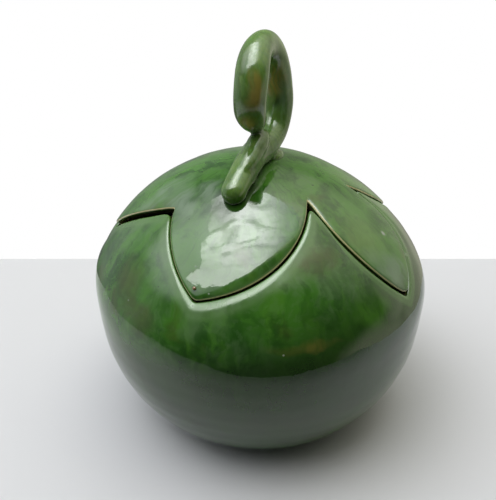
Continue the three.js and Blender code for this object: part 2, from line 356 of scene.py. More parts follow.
world = bpy.data.worlds.new("room")
world.use_nodes = True
bpy.context.scene.world = world
room = world.node_tree
looking = node(room, "TexCoord").outputs["Generated"]
brightness = ROOM_BASE
for around, up, reach, strength in ROOM_GLOWS:
    facing = combined(room, "DOT_PRODUCT", looking, heading(around, 90 - up), kind="VectorMath")
    glow = ramped(room, facing, math.cos(math.radians(reach)), 1, to_high=strength)
    brightness = combined(room, "ADD", glow, brightness)
is_matt = node(room, "LightPath").outputs["Is Diffuse Ray"]
dimming = combined(room, "MULTIPLY_ADD", is_matt, ROOM_FOR_MATT - 1, 1)
warm_side = ramped(room, sides(room, looking)["X"], -0.4, 0.5)
sky = fill(room, room.nodes["Background"], color=laid_over(room, COOL_LIGHT, WARM_LIGHT, warm_side))
fill(room, sky, strength=combined(room, "MULTIPLY", brightness, dimming))
print("room of", len(ROOM_GLOWS), "glows")

# %% [markdown]
# ## The thrown form
# The pot is round, so every point of it lies on a ray from its heart, the middle of the widest
# line. One formula gives the distance along the ray: the dome and the belly are two
# superellipses that run together softly. All values are the solid model's own, in millimetres.

# %% The thrown form
BELLY_RADIUS = (pot_high.x - pot_low.x) / 2 / MM
BELLY_HEIGHT = 79
DOME_HEIGHT = 70.5
DOME_FULLNESS = 1.72
BELLY_FULLNESS = 2.3
WAIST_BLEND = 0.3
LEAN = 1.45
WALL = 5.5
FLOOR = 8
FOOT_RADIUS = 52.5
FOOT_EDGE = 2.2
FOOT_BAND = 8
FOOT_HOLLOW = 1.6

HEART = Vector((0, 0, BELLY_HEIGHT))
CROWN = Vector((0, 0, 1))
FOOT_SHARE = (FOOT_RADIUS / BELLY_RADIUS) ** BELLY_FULLNESS
BELLY_DEPTH = BELLY_HEIGHT / (1 - FOOT_SHARE) ** (1 / BELLY_FULLNESS)


def lerp(low, high, share):
    return low + (high - low) * share


def smooth_share(low, high, value):
    """0 below low, 1 above high and a soft S between."""
    share = min(max((value - low) / (high - low), 0), 1)
    return share * share * (3 - 2 * share)


def form_point(direction, depth=0.0):
    """The point in that direction, so deep under the outer surface."""
    across = math.hypot(direction.x, direction.y)
    share = smooth_share(-WAIST_BLEND, WAIST_BLEND, direction.z)
    fullness = lerp(BELLY_FULLNESS, DOME_FULLNESS, share)
    height = lerp(BELLY_DEPTH, DOME_HEIGHT, share) - depth
    total = (across / (BELLY_RADIUS - depth)) ** fullness + (abs(direction.z) / height) ** fullness
    return HEART + direction * total ** (-1 / fullness)


def leaned(point):
    """The pot slumped a little to the right while it dried."""
    share = min(max(point.z / BELLY_HEIGHT, 0), 1)
    return point - CROWN * math.tan(math.radians(LEAN)) * point.x * share


print("crown of the form", round(form_point(CROWN).z, 1), "mm up")

# %% [markdown]
# ## The cut
# The star was cut freehand with a knife held towards the heart of the pot. Each edge of a lobe
# is one bowed stroke from a valley to a tip, so three values describe it: its two ends and how
# far it swells. The number of columns on each edge follows how much of the round it covers, so
# the columns run nearly straight down the pot.

# %% The cut line
COLUMNS = 240
LOBES = (
    # tip and valley, in degrees round from the front and down from the crown; then, for the
    # edges before and after the tip: bow in degrees, gap and sag in millimetres
    ((-24, 69.4), (36.4, 31.8), (2.4, 9.9), (0.6, 1.0), (0.1, 0.1)),
    ((58.2, 78.6), (85.5, 38.7), (6.7, 8.2), (1.2, 1.2), (0.5, 0.5)),
    ((119, 73), (156, 40.5), (5.8, 7), (1.6, 1.4), (0.5, 0.5)),
    ((192, 70), (229, 41), (7, 7.5), (1.4, 1.4), (0.5, 0.5)),
    ((263, 74), (301.7, 43.9), (7.5, 1.2), (1.4, 2.8), (0.8, 1.7)),
)


def cut_edges():
    """The edges of all lobes in turn: from, to, bow, gap and how far the pot's side sagged."""
    edges = []
    around, down = LOBES[-1][1]
    start = (around - 360, down)
    for tip, valley, *pairs in LOBES:
        before, after = zip(*pairs)
        edges += [(start, tip, *before), (tip, valley, *after)]
        start = valley
    return edges


def columns_of(start, end):
    return round(COLUMNS * (end[0] - start[0]) / 360)


def edge_directions(start, end, bow):
    """One stroke of the knife, as directions from the heart."""
    first, last = heading(*start), heading(*end)
    side = last.cross(first).normalized()
    middle = (first + last) / 2 + side * 2 * math.tan(math.radians(bow))
    count = columns_of(start, end)
    line = []
    for step in range(count):
        t = step / count
        line.append((first * (1 - t) ** 2 + middle * 2 * t * (1 - t) + last * t * t).normalized())
    return line


CUT_LINE, CUT_GAPS, RIM_SAG, VALLEYS, TIPS = [], [], [], [], []
for number, (start, end, bow, gap, sag) in enumerate(cut_edges()):
    (TIPS if number % 2 else VALLEYS).append(len(CUT_LINE))
    stroke = edge_directions(start, end, bow)
    CUT_LINE += stroke
    CUT_GAPS += [gap] * len(stroke)
    RIM_SAG += [sag] * len(stroke)
print("cut line of", len(CUT_LINE), "points with", len(TIPS), "tips")

# %% [markdown]
# Moving the line sideways needs care at its corners. Points near a corner would cross over each
# other, so they are spaced out evenly again between the corner and the first clear point. Then
# the outward corners are rubbed round, as the potter did with a wet sponge: the points of the
# pot's teeth more, the tips of the lid's lobes less.

# %% Care at the corners
TOOTH_RUBS = (12, 8, 8, 8, 3)
LOBE_RUBS = (1, 1, 1, 1, 1)
RUB_REACH = 4


def spaced_out(line, corner, distance):
    """Evens the points on both sides of a corner."""
    here, count = CUT_LINE[corner], len(line)
    before, after = CUT_LINE[corner - 1] - here, CUT_LINE[(corner + 1) % count] - here
    half_angle = before.angle(after) / 2
    spacing = before.length * (form_point(here) - HEART).length
    clear = math.ceil(abs(distance) / math.tan(half_angle) / spacing) + 1
    for step in (1, -1):
        far = line[(corner + step * clear) % count]
        for number in range(1, clear):
            share = number / clear
            line[(corner + step * number) % count] = line[corner].lerp(far, share).normalized()


def rubbed(line, corner, rubs):
    """Rounds a corner by moving each point towards its neighbours, again and again."""
    count = len(line)
    for _ in range(rubs):
        near = [line[(corner + step) % count].copy() for step in range(-RUB_REACH - 1, RUB_REACH + 2)]
        for step in range(-RUB_REACH, RUB_REACH + 1):
            first, middle, last = near[step + RUB_REACH : step + RUB_REACH + 3]
            line[(corner + step) % count] = (first + middle * 2 + last).normalized()


print("corners rubbed", sum(TOOTH_RUBS), "times on the pot,", sum(LOBE_RUBS), "on the lid")

# %% Lines beside the cut
MITRE_LIMIT = 2.4


def beside_cut(side, back):
    """The cut line moved sideways: side is +1 onto the pot or -1 onto the lid, and back is
    how far from the face of the cut, for all points or for each of them."""
    backs = back if isinstance(back, list) else [back] * len(CUT_LINE)
    moved = []
    for index, direction in enumerate(CUT_LINE):
        last = CUT_LINE[index - 1]
        following = CUT_LINE[(index + 1) % len(CUT_LINE)]
        side_in = (direction - last).cross(direction).normalized()
        side_out = (following - direction).cross(direction).normalized()
        outward = (side_in + side_out).normalized()
        mitre = min(1 / outward.dot(side_out), MITRE_LIMIT)
        gap = (CUT_GAPS[index - 1] + CUT_GAPS[index]) / 2
        reach = (form_point(direction) - HEART).length
        distance = side * (gap / 2 + backs[index]) * mitre
        moved.append((direction + outward * distance / reach).normalized())
    for corner in TIPS + VALLEYS:
        spaced_out(moved, corner, CUT_GAPS[corner] / 2 + backs[corner])
    outward_corners, rubs = (VALLEYS, TOOTH_RUBS) if side > 0 else (TIPS, LOBE_RUBS)
    for corner, times in zip(outward_corners, rubs):
        rubbed(moved, corner, times)
    return moved


def level_line(down):
    """A level ring of directions, with the same number of columns on each edge."""
    line = []
    for start, end, *stroke in cut_edges():
        count = columns_of(start, end)
        line += [heading(lerp(start[0], end[0], step / count), down) for step in range(count)]
    return line


def between(first, second, share):
    """Directions part of the way from one ring to another."""
    return [a.lerp(b, share).normalized() for a, b in zip(first, second)]


print("line on the pot", len(beside_cut(1, 0)), "points, level line", len(level_line(90)), "points")

# %% [markdown]
# ## Laying rings
# The skin of each piece is laid like rings of clay: a circle for every ring, each of its points
# moved to its place on the form, and each ring bridged to the one before. Small uneven swells
# go in here too, because a hand-made surface is what makes its reflections come alive.

# %% Laying rings
SWELL = 0.34
SWELL_SIZE = 27
RIPPLE = 0.07
RIPPLE_SIZE = 8


def uneven(point, seed, ripple=RIPPLE):
    """How far the surface stands out of its true form there, in millimetres."""
    far = Vector((seed * 37.0, seed * 11.0, seed * 23.0))
    slow = noise.noise(point / SWELL_SIZE + far)
    quick = noise.noise(point / RIPPLE_SIZE - far)
    return SWELL * slow + ripple * quick


def skin(line, depths, seed, swell=1.0, ripple=RIPPLE):
    """Points along a line of directions, each so deep, with a share of the swells."""
    points = []
    for direction, depth in zip(line, depths):
        point = form_point(direction, depth)
        points.append(leaned(point + direction * uneven(point, seed, ripple) * swell))
    return points


def new_shape():
    """An empty bmesh that keeps four values for each point: how thin the glaze is on an edge,
    with a painted glow beside the pot's rim highlight, how much clay a cut has bared, whether
    it is inside, and how much painted shade lies where the coil meets the lid."""
    shape = bmesh.new()
    for layer in ("thin", "bared", "inside", "coil_shade"):
        shape.verts.layers.float.new(layer)
    return shape


def lay_ring(shape, points, **values):
    """One ring of points, with its values."""
    made = bmesh.ops.create_circle(shape, segments=len(points), radius=1)
    for number, (vertex, point) in enumerate(zip(made["verts"], points)):
        vertex.co = point
        for layer, value in values.items():
            here = value[number] if isinstance(value, list) else value
            vertex[shape.verts.layers.float[layer]] = here
    return made["verts"]


def ring_edges(ring):
    """The edges that run round a ring."""
    members = set(ring)
    near = {edge for vertex in ring for edge in vertex.link_edges}
    return [edge for edge in near if set(edge.verts) <= members]


def join_rings(shape, rings):
    """Bridges the rings in turn and closes both ends over their middles."""
    loops = [ring_edges(ring) for ring in rings]
    for first, second in zip(loops, loops[1:]):
        bmesh.ops.bridge_loops(shape, edges=first + second)
    for loop in (loops[0], loops[-1]):
        cap = bmesh.ops.contextual_create(shape, geom=loop)["faces"]
        bmesh.ops.poke(shape, faces=cap)
    bmesh.ops.recalc_face_normals(shape, faces=shape.faces)


print("skins will swell by up to", round(SWELL + RIPPLE, 2), "mm")


# %% Finishing a piece
def resize(shape, factor):
    bmesh.ops.scale(shape, vec=(factor,) * 3, verts=shape.verts)


def finish_piece(name, shape, material, body, solid, levels=1):
    """Brings a shape to metres, smooths it, and puts it on its body in place of its solid."""
    resize(shape, MM)
    for face in shape.faces:
        face.smooth = True
    piece = add_object(name, shape, material)
    if levels:
        soft = piece.modifiers.new("soft_clay", "SUBSURF")
        soft.levels = levels
        soft.render_levels = levels
        soft.use_limit_surface = False
    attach(piece, body)
    if solid:
        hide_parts(solid)
    print(name, "has", len(piece.data.polygons), "faces before smoothing")
    return piece


print("pieces are brought from millimetres to metres by", MM)

# %% [markdown]
# ## The rim section
# Across the cut the section is the same everywhere. The outer surface first bends down in a
# slow, broad arc, which catches the light of the window, and then in a quick one into the face
# of the cut. The inner edge is only wiped with a finger. On the lid the glaze ran thin over
# the quick arc and left the tan line that outlines every lobe. On the pot the roll is paler:
# partly thinner glaze, partly a painted glow beside the highlight of the broad arc.

# %% The rim section
SLOW_TURN = 34
# on the pot the pale edge is partly thinner glaze and partly a painted glow beside the rim highlight
POT_ROLL = {"slow": 3.2, "quick": 0.9, "thin": 0.4, "thins": (-20, 10)}
LID_ROLL = {"slow": 6.0, "quick": 1.1, "thin": 1.0, "thins": (22, 40)}
RIM_SAG_REACH = 0.3
RIM_GLOW_REACH = 0.13
INNER_ROUND = 0.9
SHOULDER = 112
EDGE_TURNS = (0, 8, 17, 26, 34, 44, 52, 60, 68, 79, 90)
THIN_AND_GLOW_ENDS = (66, 88)


def roll_point(roll, turn, broad):
    """Where the rolled edge is once it has turned so far: back from the cut, and deep. Broad
    is how many times wider than usual the slow arc is there."""
    slow, quick, change = roll["slow"] * broad, roll["quick"], math.radians(SLOW_TURN)
    angle = math.radians(turn)
    width = slow * math.sin(change) + quick * (1 - math.sin(change))
    if turn <= SLOW_TURN:
        return width - slow * math.sin(angle), slow * (1 - math.cos(angle))
    drop = slow * (1 - math.cos(change)) + quick * (math.cos(change) - math.cos(angle))
    return quick * (1 - math.sin(angle)), drop


for roll in (POT_ROLL, LID_ROLL):
    print("the edge turns over within", round(roll_point(roll, 0, 1)[0], 1), "mm")

# %% How wide the roll is along the cut
TOOTH_SHARE = 0.42
NARROW_LOBE = 0.35
UNDER_TIP = 1.9
LEFT_OF_TIP = 0.55
ROLL_UNEVEN = 0.45
# from here on, columns past the tip of the front lobe, or columns from the tip of a tooth
NEAR_EDGE = ((0, 0.6), (6, 1.0), (16, 1.9), (23, 1.6), (30, 0.5))
FAR_LEFT = (-40, -60)
TIP_BEGINS = (-6, 3)
TIP_ENDS = (7, 22)
TOOTH_TIP = (2, 9)


def evened(values, rounds=3):
    """The values along the cut, run together softly."""
    for _ in range(rounds):
        before, after = values[-1:] + values[:-1], values[1:] + values[:1]
        values = [sum(three) / 3 for three in zip(before, values, after)]
    return values


def pot_shares():
    """The pot's roll is broadest under the tip of the front lobe, narrow on the tips of its
    teeth, and uneven in between."""
    shares = []
    for index, direction in enumerate(CUT_LINE):
        away = min(min(abs(index - v), len(CUT_LINE) - abs(index - v)) for v in VALLEYS)
        past_tip = index - TIPS[0]
        broad = lerp(LEFT_OF_TIP, 1, smooth_share(*FAR_LEFT, past_tip)) if past_tip < 0 else 1
        under = smooth_share(*TIP_BEGINS, past_tip) * (1 - smooth_share(*TIP_ENDS, past_tip))
        broad = lerp(broad, UNDER_TIP, under)
        broad *= 1 + ROLL_UNEVEN * noise.noise(direction * 6)
        shares.append(lerp(TOOTH_SHARE, broad, smooth_share(*TOOTH_TIP, away)))
    return evened(shares)


def lid_shares():
    """The lid's roll is broad along the near edge of the front lobe and narrow elsewhere."""
    shares = [NARROW_LOBE] * len(CUT_LINE)
    for (start, first), (end, second) in zip(NEAR_EDGE, NEAR_EDGE[1:]):
        for step in range(start, end):
            shares[TIPS[0] + step] = lerp(first, second, (step - start) / (end - start))
    return evened(shares, 6)


POT_ROLL["shares"] = pot_shares()
LID_ROLL["shares"] = lid_shares()
POT_ROLL["sag"] = evened(RIM_SAG, 12)
LID_ROLL["sag"] = [0.0] * len(CUT_LINE)


def roll_start(roll):
    """How far from the cut the roll starts, for every point of the cut line."""
    return [roll_point(roll, 0, broad)[0] for broad in roll["shares"]]


print("the pot's roll is", round(max(roll_start(POT_ROLL)), 1), "mm wide at most")


# %% Rings over a rolled edge
def cut_rings(shape, side, roll, seed):
    """The rings over one edge of the cut, from the outer surface to the inner."""
    section = []
    for turn in EDGE_TURNS:
        thin = roll["thin"] * smooth_share(*roll["thins"], turn) * (1 - smooth_share(*THIN_AND_GLOW_ENDS, turn))
        placed = [roll_point(roll, turn, broad) for broad in roll["shares"]]
        backs = [back for back, drop in placed]
        depths = [sag + drop for sag, (back, drop) in zip(roll["sag"], placed)]
        section.append((backs, depths, {"thin": thin}, 1.0))
    ends = section[-1][1]
    face_end = WALL - INNER_ROUND
    section.append((0, [lerp(end, face_end, 0.25) for end in ends], {"bared": 1.0}, 0.0))
    section.append((0, [face_end] * len(ends), {"bared": 1.0, "inside": 0.3}, 0.0))
    wiped = [WALL - INNER_ROUND * 0.3] * len(ends)
    section.append((INNER_ROUND * 0.3, wiped, {"bared": 0.4, "inside": 1.0}, 0.0))
    section.append((INNER_ROUND, [WALL] * len(ends), {"inside": 1.0}, 0.0))
    rings = []
    for back, depths, values, outside in section:
        points = skin(beside_cut(side, back), depths, seed, outside)
        rings.append(lay_ring(shape, points, **values))
    return rings


# %% [markdown]
# ## The glaze
# A lead-and-copper glaze is glass: clear, very glossy and bent towards a high index, over a
# clay whose warm colour shows wherever the glass is thin. So the colour is built in layers:
# two greens that drift into each other, brown clouds and grey-blue milky ones, painted shade
# low on the belly and where the coil meets the lid, and tan where the glass ran off an edge.
# The pale edge of the pot's rim is partly thinner glass and partly a painted glow beside its
# highlight, and the bared clay of the cut faces is darkened with painted shade. Pin holes and
# specks come last.

# %% Glaze colours
DEEP_GREEN = (0.012, 0.062, 0.004)
LEAF_GREEN = (0.044, 0.158, 0.014)
GRASS_GREEN = (0.07, 0.215, 0.018)
SPRING_GREEN = (0.12, 0.255, 0.04)
MILKY_GREEN = (0.1, 0.2, 0.07)
MIST_GREEN = (0.2, 0.29, 0.19)
# pale green of thin glaze on edges and of brush hairs; on the pot's rim also a painted glow beside the
# highlight
PALE_EDGE = (0.12, 0.24, 0.075)
AMBER = (0.2, 0.165, 0.03)
PALE_AMBER = (0.4, 0.3, 0.06)
BROWN = (0.055, 0.062, 0.014)
TAN = (0.72, 0.64, 0.34)
# bare clay of the cut faces, darkened with painted shade in the narrow gap
SHADED_CUT_CLAY = (0.045, 0.036, 0.014)
OLIVE_DEEP = (0.085, 0.165, 0.026)
OLIVE_LEAF = (0.2, 0.34, 0.08)
BRIGHT_LEAF = (0.064, 0.195, 0.022)
# dark green of pin holes and small dark spots, also painted shade where the coil meets the lid
DARK_SPOT_AND_SHADE_GREEN = (0.006, 0.024, 0.002)
# painted shade that darkens the lower belly
SHADE_GREEN = (0.008, 0.032, 0.003)
PALE_SPECK = (0.45, 0.5, 0.42)
HONEY_INSIDE = (0.16, 0.1, 0.026)
GLASS_INDEX = 1.62

print("glaze colours chosen")

# %% [markdown]
# A glaze is runny while it melts. The places that its clouds are laid by are therefore moved
# about first, so that edges wander, and drawn out down the pot where the glaze ran.

# %% Runny places
# the heading along which painted shade darkens the pot downwards
SHADE_HEADING = (-0.25, 0, 1)
RUN_ROUND = 0.05
RUN_DOWN = 0.22


def stored(tree, layer):
    """A value that the rings carry."""
    return node(tree, "Attribute", attribute_name=layer).outputs["Fac"]


def wandering(tree, place, size, reach):
    """The place moved about a little, so that edges of spots wander as runny glaze does."""
    drift = node(tree, "TexNoise", vector=place, scale=1 / size, detail=3.0).outputs["Color"]
    centred = combined(tree, "SUBTRACT", drift, (0.5,) * 3, kind="VectorMath")
    return combined(tree, "MULTIPLY_ADD", centred, (reach,) * 3, place, kind="VectorMath")


def running_down(tree, place):
    """The place as runs of glaze see it: it changes quickly round the pot and slowly down it."""
    level = combined(tree, "MULTIPLY", place, (1, 1, 0), kind="VectorMath")
    outward = combined(tree, "NORMALIZE", level, kind="VectorMath")
    slowed = combined(tree, "MULTIPLY", place, (RUN_DOWN,) * 3, kind="VectorMath")
    return combined(tree, "MULTIPLY_ADD", outward, (RUN_ROUND,) * 3, slowed, kind="VectorMath")


def relief(tree, height, strength, distance):
    """The slant that a fine relief gives the surface."""
    return node(tree, "Bump", height=height, strength=strength, distance=distance).outputs["Normal"]


slimness = 1 + RUN_ROUND / RUN_DOWN / (BELLY_RADIUS * MM)
print("on the belly, runs of glaze are", round(slimness, 1), "times as long as wide")

# %% The melt
def melt(tree, runny, run, seed, strokes, tones, leafy):
    """Molten colour: slow drifts, brush strokes, small curdled clouds, dark runs and brown
    clouds. Also gives the brown clouds, where the glaze is a little duller."""
    deep, leaf = tones
    rolled, turned = (seed[1], seed[2], seed[0]), (seed[2], seed[0], seed[1])
    low = 0.66 - leafy * 0.36
    colour = laid_over(tree, deep, leaf, cloud(tree, runny, 0.04, low - 0.1, low + 0.1, seed=seed))
    for tint, strength, where, *cloud_shape in (
        (MILKY_GREEN, 0.5, runny, 0.017, 0.5, 0.66, 4.0, seed, strokes),
        (leaf, 0.75, runny, 0.008, 0.49, 0.6, 5.0, seed),
        (GRASS_GREEN, 0.55, run, 0.0055, 0.46, 0.66, 3.0, seed),
        (MILKY_GREEN, 0.2, runny, 0.003, 0.5, 0.62, 3.0, seed),
        (deep, 0.8, runny, 0.012, 0.5, 0.68, 5.0, rolled),
        (deep, 0.5, run, 0.0045, 0.52, 0.7, 3.0, rolled),
        (BROWN, 0.5, runny, 0.022, 0.55, 0.72, 4.0, turned),
    ):
        share = cloud(tree, where, *cloud_shape)
        colour = laid_over(tree, colour, tint, share, strength)
    return colour, share


# %% The glaze itself
SMALL_SPOT = 2.5
PIN_SCALE = 260.0
SKIN_SCALE = 260.0


def green_glaze(
    name, seed, strokes, patches,
    tones=(DEEP_GREEN, LEAF_GREEN), leafy=0.5, shade_heights=None, gloss=(0.035, 0.09), brushed=0,
):
    """The glaze of one piece: how its brush strokes lie, the patches that are its own, its two
    greens, how much there is of the lighter one, between which two heights painted shade
    darkens it downwards, how rough it is and how strongly the hairs of the brush show."""
    material = new_material(name, ior=GLASS_INDEX)
    tree = material.node_tree
    place = own_place(tree)
    runny = wandering(tree, place, 0.016, 0.012)
    run = running_down(tree, runny)
    colour, brown = melt(tree, runny, run, seed, strokes, tones, leafy)
    if shade_heights:
        # painted shade: darker downwards between the two heights
        down = combined(tree, "DOT_PRODUCT", runny, SHADE_HEADING, kind="VectorMath")
        shaded_low = ramped(tree, down, shade_heights[0] * MM, shade_heights[1] * MM)
        colour = laid_over(tree, colour, SHADE_GREEN, shaded_low, 0.8)
    if brushed:
        hairs = cloud(tree, place, 0.0018, 0.46, 0.64, detail=3.0, seed=seed, stretch=(1, 1, 0.12))
        colour = laid_over(tree, colour, PALE_EDGE, hairs, brushed)
    torn = cloud(tree, run, 0.007, 0.38, 0.58, seed=seed[::-1])
    broken = ramped(tree, torn, 0, 1, 0.45, 1)
    for centre, radii, tint, strength in patches:
        small = max(radii) < SMALL_SPOT
        where = place if small else runny
        share = spot(tree, where, [c * MM for c in centre], [r * MM for r in radii])
        share = share if small else combined(tree, "MULTIPLY", share, broken)
        colour = laid_over(tree, colour, tint, share, strength)

    # what the rings know: the honey-brown inside, painted shade where the coil meets the lid,
    # bared clay darkened with painted shade, and thin edges with a painted glow on the pot's rim
    honey = laid_over(tree, HONEY_INSIDE, DEEP_GREEN, cloud(tree, runny, 0.02, 0.4, 0.65), 0.5)
    thin = stored(tree, "thin")
    pale = ramped(tree, thin, 0, 0.4)
    worn = cloud(tree, place, 0.006, 0.15, 0.45)
    worn_through = combined(tree, "MULTIPLY", ramped(tree, thin, 0.45, 0.9), worn)

    # pin holes, where gas broke through, and grains that did not melt
    cells = node(tree, "TexVoronoi", vector=place, scale=PIN_SCALE)
    dot = ramped(tree, cells.outputs["Distance"], 0.16, 0.05)
    pins = combined(tree, "MULTIPLY", dot, cloud(tree, place, 0.009, 0.6, 0.66, seed=seed))
    grainy = cloud(tree, place, 0.011, 0.69, 0.72, seed=(seed[2], 0, 0))
    grains = combined(tree, "MULTIPLY", dot, grainy)
    for tint, share, strength in (
        (honey, stored(tree, "inside"), 1.0),
        # painted shade where the coil meets the lid
        (DARK_SPOT_AND_SHADE_GREEN, stored(tree, "coil_shade"), 0.85),
        # cut faces: bare clay, darkened with painted shade
        (SHADED_CUT_CLAY, stored(tree, "bared"), 0.9),
        # thin glaze on edges, and on the pot's rim a painted glow beside the highlight
        (PALE_EDGE, pale, 0.7),
        (TAN, worn_through, 0.95),
        (DARK_SPOT_AND_SHADE_GREEN, pins, 0.75),
        (PALE_SPECK, grains, 0.6),
    ):
        colour = laid_over(tree, colour, tint, share, strength)

    rubbed_dull = combined(tree, "MULTIPLY", pale, ramped(tree, torn, 0, 1, 0.1, 0.24))
    softness = combined(tree, "ADD", ramped(tree, brown, 0, 1, *gloss), rubbed_dull)
    grain = node(tree, "TexNoise", vector=place, scale=SKIN_SCALE, detail=2.0).outputs["Fac"]
    pitted = combined(tree, "MULTIPLY_ADD", pins, -0.7, grain)
    shade(material, base_color=colour, roughness=softness, normal=relief(tree, pitted, 0.07, 0.0006))
    print(name, "is mixed from", len(tree.nodes), "nodes")
    return material


# %% The patches of each piece
# middle and half sizes in millimetres, colour, strength
POT_PATCHES = (
    # painted glow: the pale halo under the rim highlight below the front lobe
    ((-26, -77, 104), (18, 12, 9), MILKY_GREEN, 0.5),
    ((-33, -78, 98), (9, 8, 6), MILKY_GREEN, 0.6),
    ((52, -65, 99), (17, 14, 10), GRASS_GREEN, 0.5),
    ((24, -59, 122), (16, 12, 9), BROWN, 0.6),
    ((27, -65, 115), (8, 8, 4), MILKY_GREEN, 0.35),
    ((19, -85, 94), (24, 12, 3), AMBER, 0.4),
    ((-64, -47, 107), (14, 14, 15), BROWN, 0.6),
    ((-57, -65, 96), (12, 12, 10), BROWN, 0.5),
    ((-64, -56, 100), (0.9, 0.9, 0.9), PALE_SPECK, 0.9),
    ((9, -87, 92), (0.7, 0.7, 0.7), PALE_SPECK, 0.8),
    ((74, -23, 105), (1.6, 1.6, 2.2), PALE_SPECK, 1.0),
)
LID_PATCHES = (
    ((-46, -11, 136), (20, 15, 11), MIST_GREEN, 0.8),
    ((-38, -26, 136), (13, 17, 10), MIST_GREEN, 0.95),
    ((-27, -38, 136), (22, 18, 14), MILKY_GREEN, 0.4),
    ((-25, -23, 142), (9, 9, 6), MIST_GREEN, 0.95),
    ((59, -46, 110), (14, 16, 12), MIST_GREEN, 0.5),
    ((66, -42, 106), (12, 14, 11), MIST_GREEN, 0.6),
    ((52, -43, 118), (7, 7, 6), MIST_GREEN, 0.5),
    ((50, -36, 124), (22, 22, 16), SPRING_GREEN, 0.6),
    ((47, -10, 131), (10, 12, 7), DEEP_GREEN, 0.45),
    ((56, -25, 124), (10, 10, 8), DEEP_GREEN, 0.7),
    ((61, -14, 123), (11, 12, 11), DEEP_GREEN, 0.85),
    ((37, -15, 138), (16, 7, 8), DEEP_GREEN, 1.0),
    ((-42, 2, 139), (2.2, 1.4, 1.4), DARK_SPOT_AND_SHADE_GREEN, 0.8),
    ((-59, -14, 128), (12, 12, 8), MIST_GREEN, 0.45),
    ((31, -22, 139), (5, 12, 5), DEEP_GREEN, 0.7),
    ((61, -26, 120), (2.2, 1.8, 2.4), PALE_SPECK, 1.0),
    ((60, -24, 123), (1.4, 1.4, 1.4), PALE_SPECK, 0.9),
    ((25, -18, 142), (1.1, 0.7, 0.7), DARK_SPOT_AND_SHADE_GREEN, 0.9),
)
STEM_PATCHES = (
    ((13, 12, 180), (6, 8, 18), MIST_GREEN, 0.5),
    ((-5, -21, 190), (6, 7, 13), PALE_AMBER, 0.8),
    ((-7, -19, 173), (8, 8, 7), PALE_AMBER, 0.95),
    ((7, 11, 185), (7, 8, 14), PALE_AMBER, 0.85),
    ((8, 10, 174), (4, 5, 6), DARK_SPOT_AND_SHADE_GREEN, 0.8),
    # painted shade under the tip of the curl
    ((-5, -13, 160), (5, 6, 7), DEEP_GREEN, 0.8),
)
print("patches on pot, lid, stem:", len(POT_PATCHES), len(LID_PATCHES), len(STEM_PATCHES))

# %% Three glazes
# the pot's belly is darkened by painted shade from 107 mm down to 84 mm
pot_glaze = green_glaze(
    "pot_glaze", seed=(1.3, 0.4, 2.2), strokes=(1, 1, 0.45), patches=POT_PATCHES, shade_heights=(107, 84)
)
lid_glaze = green_glaze(
    "lid_glaze", seed=(4.1, 2.4, 0.2), strokes=(0.45, 1, 1), patches=LID_PATCHES,
    tones=(DEEP_GREEN, BRIGHT_LEAF), leafy=0.66,
)
stem_glaze = green_glaze(
    "stem_glaze", seed=(7.7, 5.4, 3.2), strokes=(1, 1, 0.3), patches=STEM_PATCHES,
    tones=(OLIVE_DEEP, OLIVE_LEAF), leafy=0.6, gloss=(0.13, 0.17), brushed=0.65,
)

# %% [markdown]
# ## Bare clay
# The foot was wiped clean before firing, because glaze would have glued the pot to the kiln
# shelf. It is matt, warm and slightly sandy.

# %% Bare clay
CLAY_RED = (0.36, 0.17, 0.08)
CLAY_BUFF = (0.5, 0.28, 0.15)
CLAY_GRIT = (0.2, 0.1, 0.06)

clay = new_material("bare_clay", roughness=0.85)
clay_tree = clay.node_tree
clay_place = own_place(clay_tree)
warm = cloud(clay_tree, clay_place, 0.012, 0.35, 0.65)
grit = cloud(clay_tree, clay_place, 0.0012, 0.55, 0.7, detail=2.0)
fired = laid_over(clay_tree, CLAY_RED, CLAY_BUFF, warm)
sandy = laid_over(clay_tree, fired, CLAY_GRIT, grit, 0.5)
shade(clay, base_color=sandy, normal=relief(clay_tree, grit, 0.35, 0.0004))
print("bare clay is mixed from", len(clay_tree.nodes), "nodes")

# %% [markdown]
# ## The pot
# From the middle of the underside the rings climb out over the foot and the belly, narrow into
# the star, turn over the rim and come down inside to the floor. Level rings below the shoulder
# become star-shaped rings above it by small steps.

# %% The pot
POT_SEED = 1
THROWING_RIDGE = 0.05
THROWING_PITCH = 9.5
SWELL_FROM = 14


def outer_points(line, sag=0.0):
    """Points of the outer surface, with the swells of the hand and faint throwing ridges. Sag
    is how much of the rim's sag they share."""
    points = []
    for direction, depth in zip(line, POT_ROLL["sag"]):
        point = form_point(direction, depth * sag)
        ridge = THROWING_RIDGE * math.sin(point.z / THROWING_PITCH * 2 * math.pi)
        reach = smooth_share(FOOT_EDGE, SWELL_FROM, point.z)
        stand_out = (uneven(point, POT_SEED) + ridge) * reach
        points.append(leaned(point + direction * stand_out))
    return points


def inner_points(line):
    """Points of the inside, cut off by the flat floor."""
    points = []
    for direction in line:
        point = form_point(direction, WALL)
        if point.z < FLOOR:
            point = HEART + direction * (BELLY_HEIGHT - FLOOR) / -direction.z
        points.append(leaned(point))
    return points


def flat_ring(radius, height):
    return [Vector((d.x * radius, d.y * radius, height)) for d in level_line(90)]


pot_shape = new_shape()
rings = []
band_outside = FOOT_RADIUS - FOOT_EDGE
band_inside = band_outside - FOOT_BAND
corner = FOOT_EDGE * (1 - math.sqrt(0.5))
for radius, height in (
    (6, FOOT_HOLLOW),
    (band_inside - FOOT_HOLLOW - 1, FOOT_HOLLOW),
    (band_inside - FOOT_HOLLOW, FOOT_HOLLOW * 0.9),
    (band_inside - 0.3, FOOT_HOLLOW * 0.1),
    (band_inside + 0.5, 0),
    (band_outside - 0.5, 0),
    (band_outside + 0.5, 0.1),
    (FOOT_RADIUS - corner, corner),
):
    rings.append(lay_ring(pot_shape, flat_ring(radius, height)))

